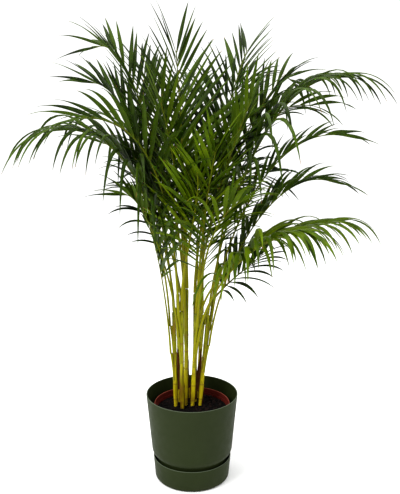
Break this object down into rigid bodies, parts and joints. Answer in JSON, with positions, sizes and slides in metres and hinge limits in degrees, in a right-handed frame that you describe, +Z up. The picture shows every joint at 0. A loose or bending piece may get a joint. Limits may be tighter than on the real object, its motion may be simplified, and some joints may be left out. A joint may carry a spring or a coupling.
{
  "type": "potted palm",
  "caption": "Potted areca palm: arching feather fronds on slim canes, in a brown growing pot inside a tapered round planter that stands in its water tray.",
  "frame": {"origin": "centre of the water tray's underside, on the floor, on the pot's axis", "axes": "+Z up along the pot's axis; +X to the right and -Y to the front as the plant is usually seen"},
  "size_m": [0.9592, 0.7041, 1.2339],
  "materials": {
    "green_plastic": "matte",
    "brown_plastic": "satin",
    "soil": "matte",
    "cane": "satin",
    "leaf": "satin",
    "young_leaf": "satin"
  },
  "bodies": {
    "root": {"tray": "green_plastic", "planter": "green_plastic", "growing_pot": "brown_plastic", "soil": "soil", "cane_1": "cane", "cane_2": "cane", "cane_3": "cane", "cane_4": "cane", "cane_5": "cane", "cane_6": "cane", "cane_7": "cane", "cane_8": "cane", "cane_9": "cane", "frond_left_arching": "leaf", "frond_left_upper": "leaf", "frond_left_high": "leaf", "frond_top": "leaf", "frond_top_right": "leaf", "frond_right_high": "leaf", "frond_right_spear": "leaf", "frond_right_middle": "leaf", "frond_right_low": "leaf", "frond_right_front": "leaf", "frond_right_rear_low": "leaf", "frond_left_low": "leaf", "frond_left_thin": "leaf", "frond_centre_bright": "young_leaf", "frond_centre_right": "young_leaf", "frond_left_front": "leaf", "frond_rear_left": "leaf", "frond_rear": "leaf", "frond_rear_right": "leaf", "frond_right_upper": "leaf", "frond_right_inner": "leaf", "frond_front_low": "leaf", "frond_left_middle": "leaf", "frond_rear_low_left": "leaf", "frond_rear_low": "leaf", "frond_rear_low_right": "leaf", "frond_inner_left": "leaf", "frond_inner_right": "leaf"}
  },
  "joints": []
}
